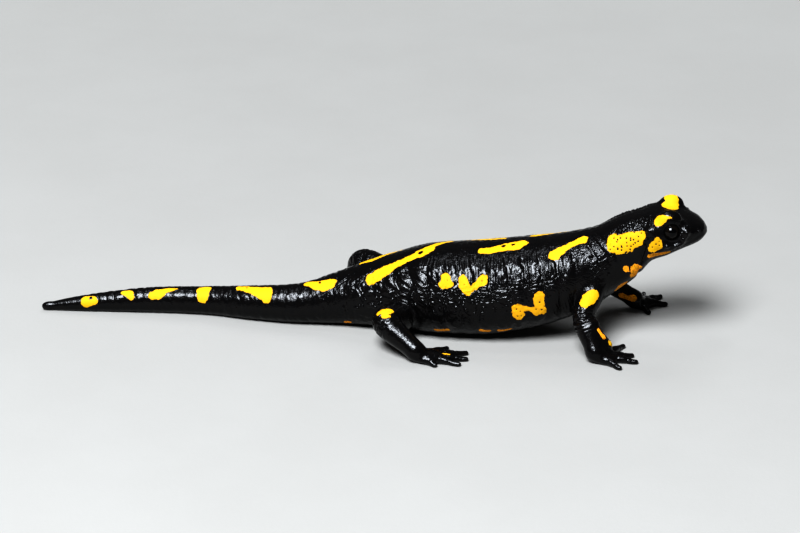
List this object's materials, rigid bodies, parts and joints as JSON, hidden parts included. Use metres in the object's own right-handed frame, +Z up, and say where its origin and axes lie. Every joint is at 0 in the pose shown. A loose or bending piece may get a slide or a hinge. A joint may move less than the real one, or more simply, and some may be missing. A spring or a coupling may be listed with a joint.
{
  "type": "fire salamander",
  "caption": "Still, life-size fire salamander in mid-stride with raised head: black skin with yellow spots and stripes, blunt head, glossy eyes and long round tail.",
  "frame": {"origin": "middle of the bounding box's underside, on the ground", "axes": "+X to the snout, +Y to the animal's left, +Z up"},
  "size_m": [0.1772, 0.0632, 0.0368],
  "materials": {
    "skin": "moist glossy black skin with yellow to orange spots and stripes",
    "eye": "wet, near-black eye"
  },
  "bodies": {
    "root": {"head": "skin", "lower_jaw": "skin", "eye_right": "eye", "eye_left": "eye", "neck": "skin", "chest": "skin", "trunk": "skin", "pelvis": "skin", "tail_base": "skin", "tail_middle": "skin", "tail_tip": "skin", "upper_arm_right": "skin", "forearm_right": "skin", "hand_right": "skin", "upper_arm_left": "skin", "forearm_left": "skin", "hand_left": "skin", "thigh_right": "skin", "shank_right": "skin", "foot_right": "skin", "thigh_left": "skin", "shank_left": "skin", "foot_left": "skin"}
  },
  "joints": []
}
